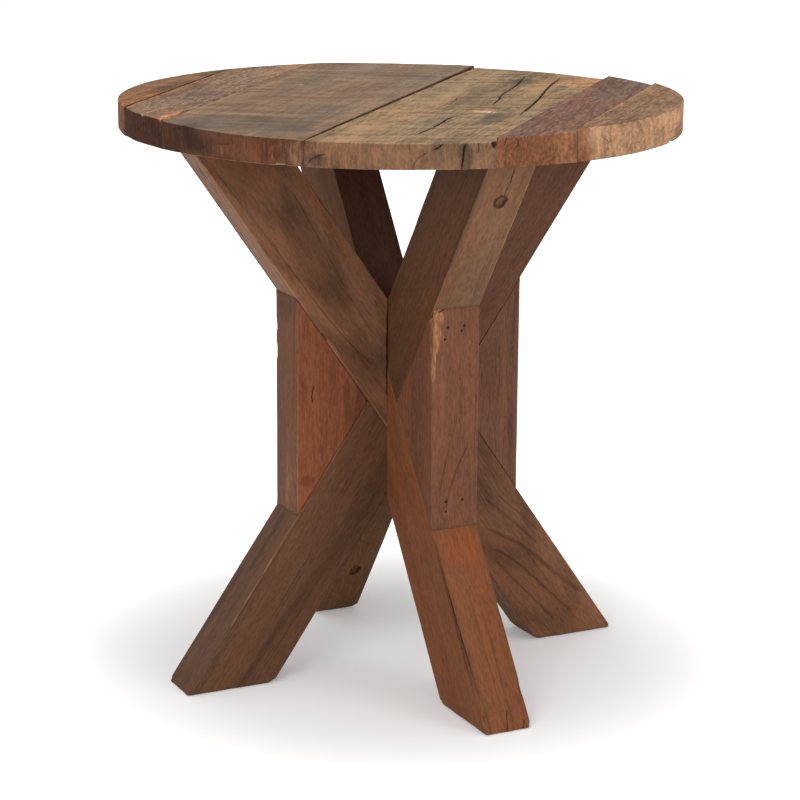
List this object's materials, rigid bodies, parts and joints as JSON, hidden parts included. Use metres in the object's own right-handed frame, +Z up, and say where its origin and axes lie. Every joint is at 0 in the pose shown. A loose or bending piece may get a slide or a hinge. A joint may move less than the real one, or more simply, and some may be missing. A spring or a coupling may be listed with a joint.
{
  "type": "side table",
  "caption": "Round plank-top side table on two crossed timber frames, with upright infill blocks between the sloping timbers.",
  "frame": {"origin": "on the floor under the middle of the round top, where the two crossed frames' centre line meets the floor", "axes": "+Z up from the floor to the top; +X towards the right foot, so one frame stands in the XZ plane; -Y towards the front foot, so the other frame stands in the YZ plane"},
  "size_m": [0.554, 0.554, 0.583],
  "materials": {
    "brown_plank_wood": "matt oiled reclaimed hardwood",
    "grey_brown_plank_wood": "matt oiled reclaimed hardwood",
    "tan_plank_wood": "matt oiled reclaimed hardwood",
    "purple_brown_plank_wood": "matt oiled reclaimed hardwood",
    "olive_plank_wood": "matt oiled reclaimed hardwood",
    "red_brown_timber_wood": "matt oiled reclaimed hardwood",
    "brown_timber_wood": "matt oiled reclaimed hardwood",
    "dark_timber_wood": "matt oiled reclaimed hardwood",
    "orange_brown_timber_wood": "matt oiled reclaimed hardwood",
    "pink_brown_block_wood": "matt oiled reclaimed hardwood",
    "purple_brown_block_wood": "matt oiled reclaimed hardwood",
    "dowel_wood": "bare turned hardwood",
    "dark_steel": "dull blackened steel"
  },
  "bodies": {
    "root": {"top_plank_1": "brown_plank_wood", "top_plank_2": "brown_plank_wood", "top_plank_3": "grey_brown_plank_wood", "top_plank_4": "tan_plank_wood", "top_plank_5": "purple_brown_plank_wood", "top_plank_6": "olive_plank_wood", "top_batten": "dark_timber_wood", "plank_edge_dowels": "dowel_wood", "batten_screws": "dark_steel", "long_diagonal": "red_brown_timber_wood", "right_upper_brace": "brown_timber_wood", "left_lower_leg": "brown_timber_wood", "front_lower_leg": "orange_brown_timber_wood", "front_upper_brace": "brown_timber_wood", "rear_upper_brace": "dark_timber_wood", "rear_lower_leg": "dark_timber_wood", "right_infill_block": "purple_brown_block_wood", "rear_infill_block": "dark_timber_wood", "left_infill_block": "orange_brown_timber_wood", "front_infill_block": "pink_brown_block_wood", "crossing_dowels": "dowel_wood", "centre_dowels": "dowel_wood", "brace_top_dowels": "dowel_wood", "infill_block_nails": "dark_steel"}
  },
  "joints": []
}
